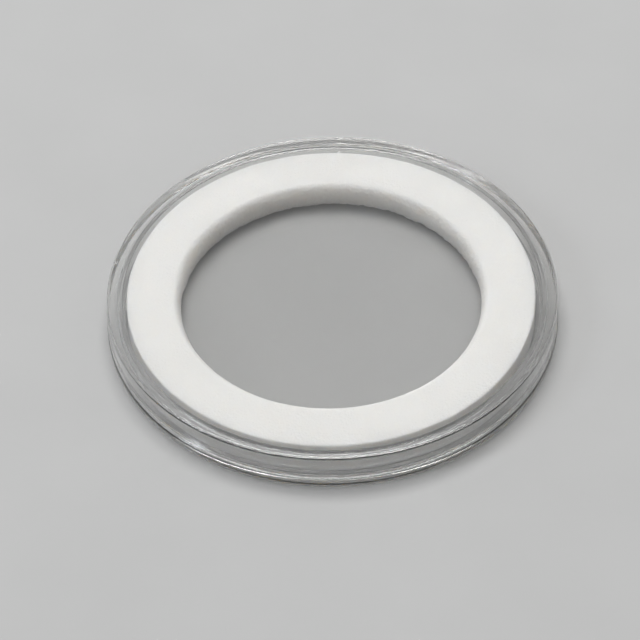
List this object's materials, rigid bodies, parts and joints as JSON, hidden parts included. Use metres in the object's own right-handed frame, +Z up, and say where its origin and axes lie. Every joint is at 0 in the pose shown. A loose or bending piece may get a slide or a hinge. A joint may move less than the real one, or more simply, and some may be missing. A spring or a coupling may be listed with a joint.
{
  "type": "coin capsule",
  "caption": "Clear round coin capsule: a flanged base and a press-fit lid that close around a white foam ring sized to centre a coin.",
  "frame": {"origin": "centre of the base's underside, on the capsule's axis", "axes": "+Z up along the capsule's axis, through the lid, which lifts off that way; the capsule is round, so +X and +Y are alike"},
  "size_m": [0.0554, 0.0554, 0.0049],
  "materials": {
    "base_clear": "gloss",
    "lid_clear": "gloss",
    "white_foam": "matte"
  },
  "bodies": {
    "base": {"base": "base_clear"},
    "lid": {"lid": "lid_clear"},
    "foam_ring": {"foam_ring": "white_foam"}
  },
  "joints": [
    {"name": "lid_lift", "type": "slide", "parent": "base", "child": "lid", "axis": [0, 0, 1], "range_m": [0, 0.024]},
    {"name": "foam_lift", "type": "slide", "parent": "base", "child": "foam_ring", "axis": [0, 0, 1], "range_m": [0, 0.012]}
  ],
  "couplings": [
    {"joint": "foam_lift", "follows": "lid_lift", "ratio": 0.5}
  ]
}
